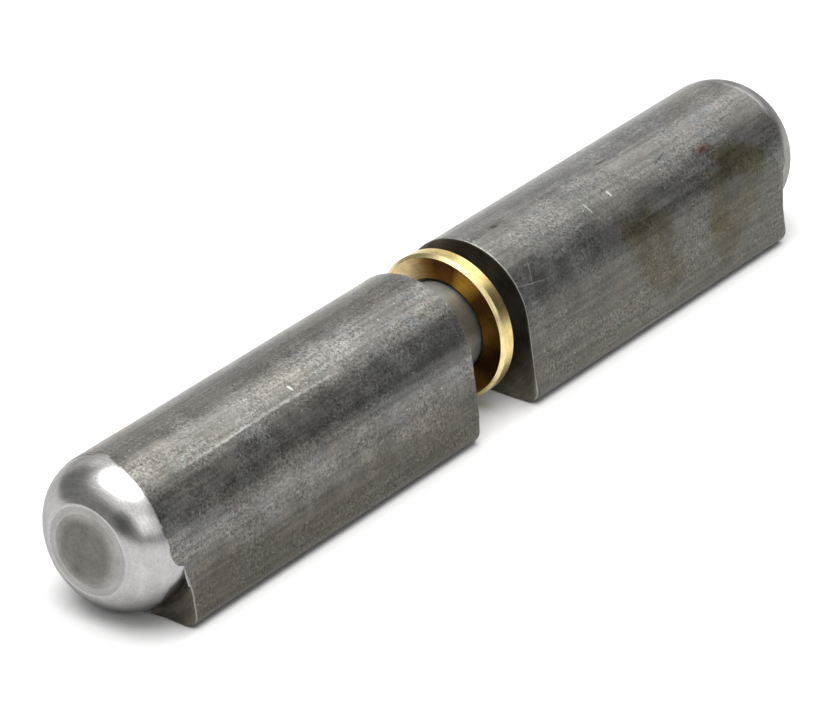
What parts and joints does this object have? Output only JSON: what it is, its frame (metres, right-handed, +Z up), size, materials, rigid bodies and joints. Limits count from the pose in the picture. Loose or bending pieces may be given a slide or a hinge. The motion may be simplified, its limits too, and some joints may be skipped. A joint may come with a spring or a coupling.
{
  "type": "lift off hinge",
  "caption": "Weld-on lift off hinge of drawn teardrop bar: a pin half and a socket half with rounded ends, and a loose brass washer on the pin between them.",
  "frame": {"origin": "centre of the hinge's footprint on the surface that it lies on", "axes": "+X along the pin axis, from the pin half to the socket half; +Z up; the tails point to -Y and lie flat below"},
  "size_m": [0.1104, 0.0171, 0.016],
  "materials": {
    "drawn_steel": "dark drawn bar skin, matt, with bright turned ends",
    "ground_steel": "ground, lightly oiled",
    "turned_brass": "turned, bare"
  },
  "bodies": {
    "pin_half": {"pin_half": "drawn_steel", "hinge_pin": "ground_steel"},
    "washer": {"brass_washer": "turned_brass"},
    "socket_half": {"socket_half": "drawn_steel"}
  },
  "joints": [
    {"name": "swing", "type": "hinge", "parent": "pin_half", "child": "washer", "pos_m": [0.0014, 0.00055, 0.008], "axis": [1, 0, 0], "continuous": true},
    {"name": "lift", "type": "slide", "parent": "washer", "child": "socket_half", "axis": [1, 0, 0], "range_m": [-0.00225, 0.025]}
  ]
}
